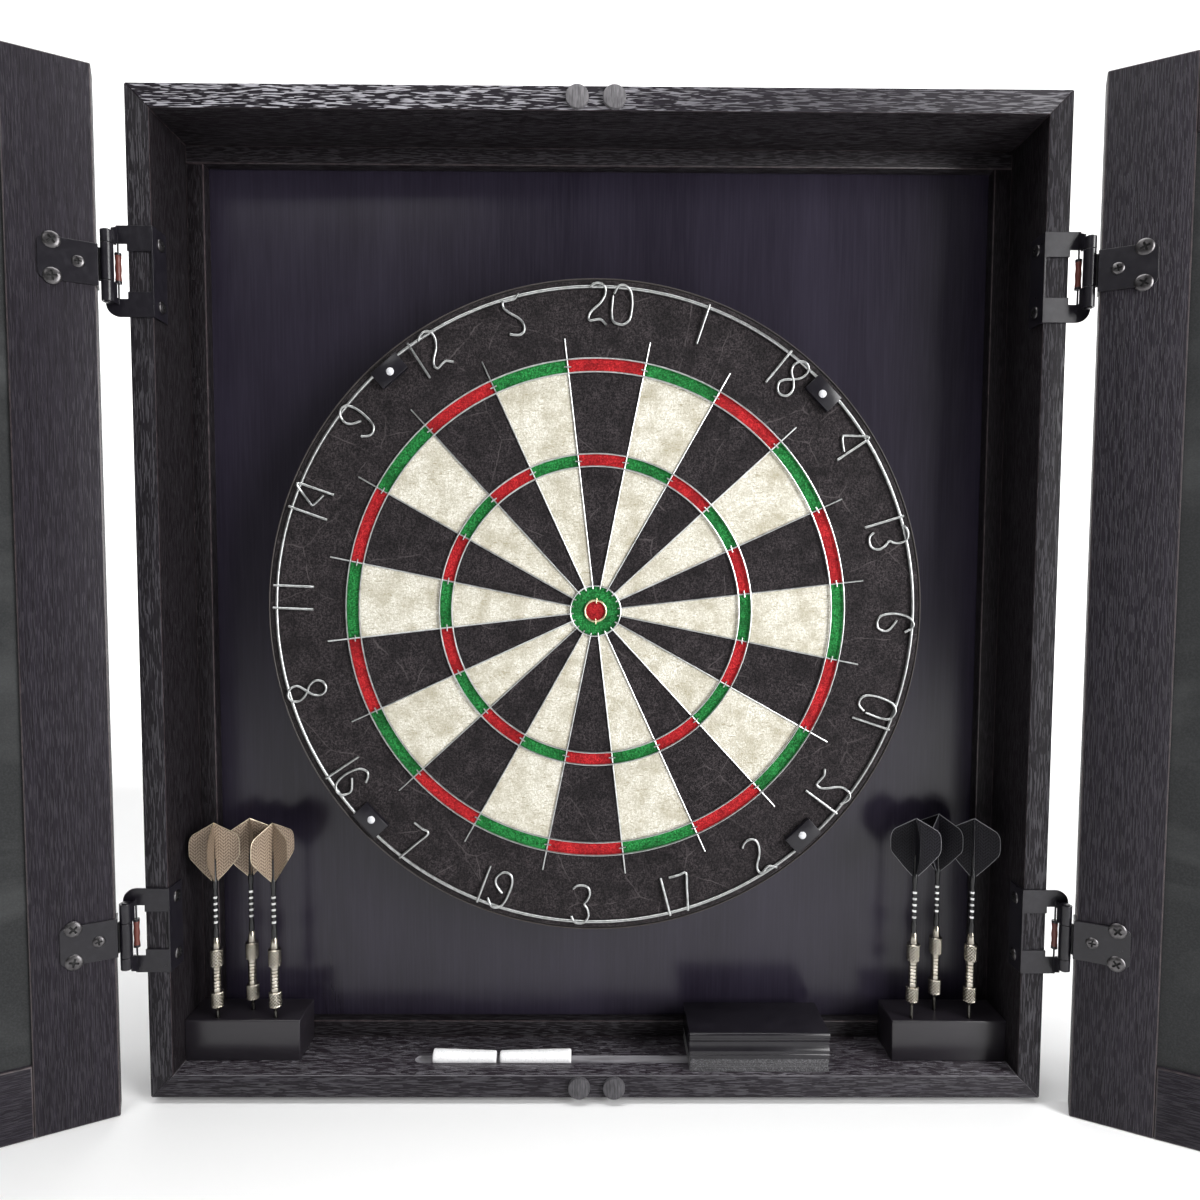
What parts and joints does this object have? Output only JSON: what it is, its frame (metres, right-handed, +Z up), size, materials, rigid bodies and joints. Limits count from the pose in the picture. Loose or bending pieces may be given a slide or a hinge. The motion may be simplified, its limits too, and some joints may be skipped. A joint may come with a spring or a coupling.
{
  "type": "dart board cabinet",
  "caption": "Wall-hung black oak cabinet with two hinged chalkboard doors, a round bristle dart board, dart holders, chalk and eraser.",
  "frame": {"origin": "centre of the cabinet's back face, which lies on the wall", "axes": "+Y points into the wall, so the front faces -Y; +X across the front to the viewer's right; +Z up. The doors are stored open."},
  "size_m": [1.2004, 0.2208, 0.683],
  "materials": {
    "black_oak": "black-stained open-pore oak, satin",
    "panel_black": "smooth black satin panel",
    "black_steel": "satin black",
    "screw_nickel": "dark nickel plate",
    "magnet_grey": "dull grey",
    "nylon_brown": "reddish brown nylon",
    "hanger_steel": "zinc plate",
    "sisal": "compressed plant fibre, dyed in sectors",
    "board_backing": "raw particle board",
    "rim_steel": "thin black band with a bright edge",
    "wire_silver": "bright galvanised wire",
    "rivet_white": "white cap",
    "chalkboard": "matte black writing surface",
    "block_black": "satin black lacquer",
    "barrel_nickel": "nickel-plated, knurled",
    "shaft_black": "black with silver rings",
    "flight_bronze": "embossed bronze film",
    "flight_black": "embossed black film",
    "chalk_white": "matte white",
    "eraser_black": "black, slightly glossy",
    "felt_grey": "speckled grey felt"
  },
  "bodies": {
    "cabinet": {"top_board": "black_oak", "bottom_board": "black_oak", "left_side_board": "black_oak", "right_side_board": "black_oak", "back_cleats": "black_oak", "back_panel": "panel_black", "catch_magnets": "magnet_grey", "hinge_frame_wings": "black_steel", "frame_wing_screws": "screw_nickel", "hinge_pins": "black_steel", "hinge_rollers": "nylon_brown", "board_hanger": "hanger_steel", "hanger_screws": "hanger_steel", "left_dart_block": "block_black", "right_dart_block": "block_black"},
    "dartboard": {"sisal_disc": "sisal", "board_backing": "board_backing", "rim_band": "rim_steel", "wire_spider": "wire_silver", "number_ring": "wire_silver", "number_wires": "wire_silver", "ring_clips": "black_steel", "clip_rivets": "rivet_white", "board_hook_screw": "hanger_steel"},
    "left_door": {"left_door_frame": "black_oak", "left_door_panel": "black_oak", "left_chalkboard": "chalkboard", "left_door_strikes": "magnet_grey", "left_door_knob": "black_steel", "left_door_leaves": "black_steel", "left_leaf_screws": "screw_nickel"},
    "right_door": {"right_door_frame": "black_oak", "right_door_panel": "black_oak", "right_chalkboard": "chalkboard", "right_door_strikes": "magnet_grey", "right_door_knob": "black_steel", "right_door_leaves": "black_steel", "right_leaf_screws": "screw_nickel"},
    "left_dart_1": {"left_dart_1_barrel": "barrel_nickel", "left_dart_1_shaft": "shaft_black", "left_dart_1_flight": "flight_bronze"},
    "left_dart_2": {"left_dart_2_barrel": "barrel_nickel", "left_dart_2_shaft": "shaft_black", "left_dart_2_flight": "flight_bronze"},
    "left_dart_3": {"left_dart_3_barrel": "barrel_nickel", "left_dart_3_shaft": "shaft_black", "left_dart_3_flight": "flight_bronze"},
    "right_dart_1": {"right_dart_1_barrel": "barrel_nickel", "right_dart_1_shaft": "shaft_black", "right_dart_1_flight": "flight_black"},
    "right_dart_2": {"right_dart_2_barrel": "barrel_nickel", "right_dart_2_shaft": "shaft_black", "right_dart_2_flight": "flight_black"},
    "right_dart_3": {"right_dart_3_barrel": "barrel_nickel", "right_dart_3_shaft": "shaft_black", "right_dart_3_flight": "flight_black"},
    "left_chalk": {"left_chalk": "chalk_white"},
    "right_chalk": {"right_chalk": "chalk_white"},
    "eraser": {"eraser_body": "eraser_black", "eraser_felt": "felt_grey"}
  },
  "joints": [
    {"name": "left_door_hinge", "type": "hinge", "parent": "cabinet", "child": "left_door", "pos_m": [-0.3155, -0.07, 0], "axis": [0, 0, 1], "range_deg": [-28, 152]},
    {"name": "right_door_hinge", "type": "hinge", "parent": "cabinet", "child": "right_door", "pos_m": [0.3155, -0.07, 0], "axis": [0, 0, -1], "range_deg": [-28, 152]},
    {"name": "board_turn", "type": "hinge", "parent": "cabinet", "child": "dartboard", "pos_m": [-0.002, -0.01, -0.002], "axis": [0, 1, 0], "continuous": true},
    {"name": "left_dart_1_pull", "type": "slide", "parent": "cabinet", "child": "left_dart_1", "axis": [0, 0, 1], "range_m": [0, 0.045]},
    {"name": "left_dart_2_pull", "type": "slide", "parent": "cabinet", "child": "left_dart_2", "axis": [0, 0, 1], "range_m": [0, 0.045]},
    {"name": "left_dart_3_pull", "type": "slide", "parent": "cabinet", "child": "left_dart_3", "axis": [0, 0, 1], "range_m": [0, 0.045]},
    {"name": "right_dart_1_pull", "type": "slide", "parent": "cabinet", "child": "right_dart_1", "axis": [0, 0, 1], "range_m": [0, 0.045]},
    {"name": "right_dart_2_pull", "type": "slide", "parent": "cabinet", "child": "right_dart_2", "axis": [0, 0, 1], "range_m": [0, 0.045]},
    {"name": "right_dart_3_pull", "type": "slide", "parent": "cabinet", "child": "right_dart_3", "axis": [0, 0, 1], "range_m": [0, 0.045]},
    {"name": "left_chalk_lift", "type": "slide", "parent": "cabinet", "child": "left_chalk", "axis": [0, 0, 1], "range_m": [0, 0.04]},
    {"name": "right_chalk_lift", "type": "slide", "parent": "cabinet", "child": "right_chalk", "axis": [0, 0, 1], "range_m": [0, 0.04]},
    {"name": "eraser_lift", "type": "slide", "parent": "cabinet", "child": "eraser", "axis": [0, 0, 1], "range_m": [0, 0.04]}
  ]
}
